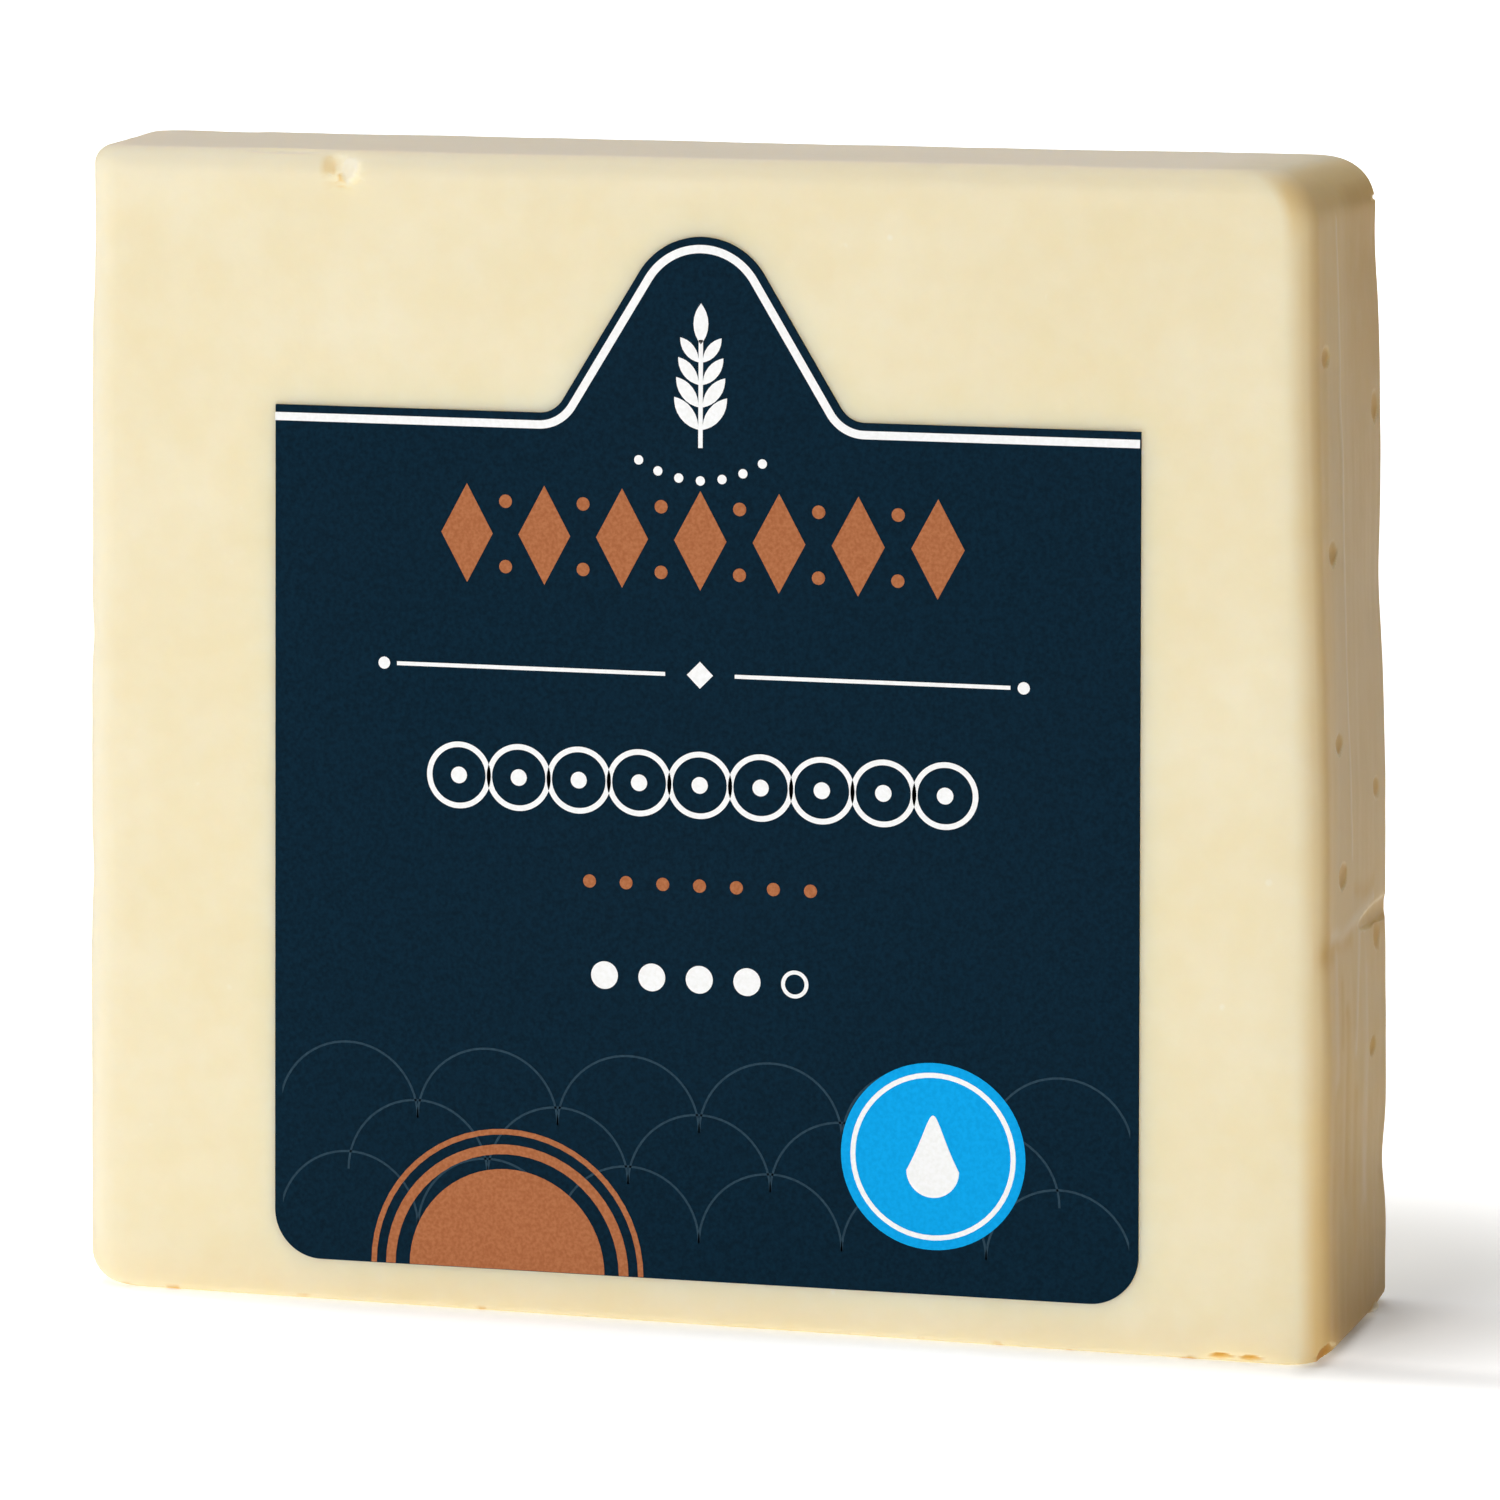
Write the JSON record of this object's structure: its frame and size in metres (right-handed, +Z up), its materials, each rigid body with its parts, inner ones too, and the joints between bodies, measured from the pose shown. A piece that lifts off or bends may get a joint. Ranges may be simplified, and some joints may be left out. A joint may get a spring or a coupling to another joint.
{
  "type": "cheddar block",
  "caption": "Upright rectangular block of pale aged cheddar with soft rounded edges and small curd gaps, and a dark peaked label stuck on its broad front; food to slice or grate.",
  "frame": {"origin": "middle of the footprint, on the surface that the block stands on", "axes": "+Z up, +X to the right along the broad front, -Y out of the front that carries the label"},
  "size_m": [0.1206, 0.0312, 0.104],
  "materials": {
    "cheese": "pale cream-yellow aged cheddar, pressed and cut, dull waxy sheen, slightly translucent",
    "label_film": "dark navy coated label with a satin face and flat printed shapes in white, copper and cyan"
  },
  "bodies": {
    "root": {"cheese_block": "cheese", "label": "label_film"}
  },
  "joints": []
}
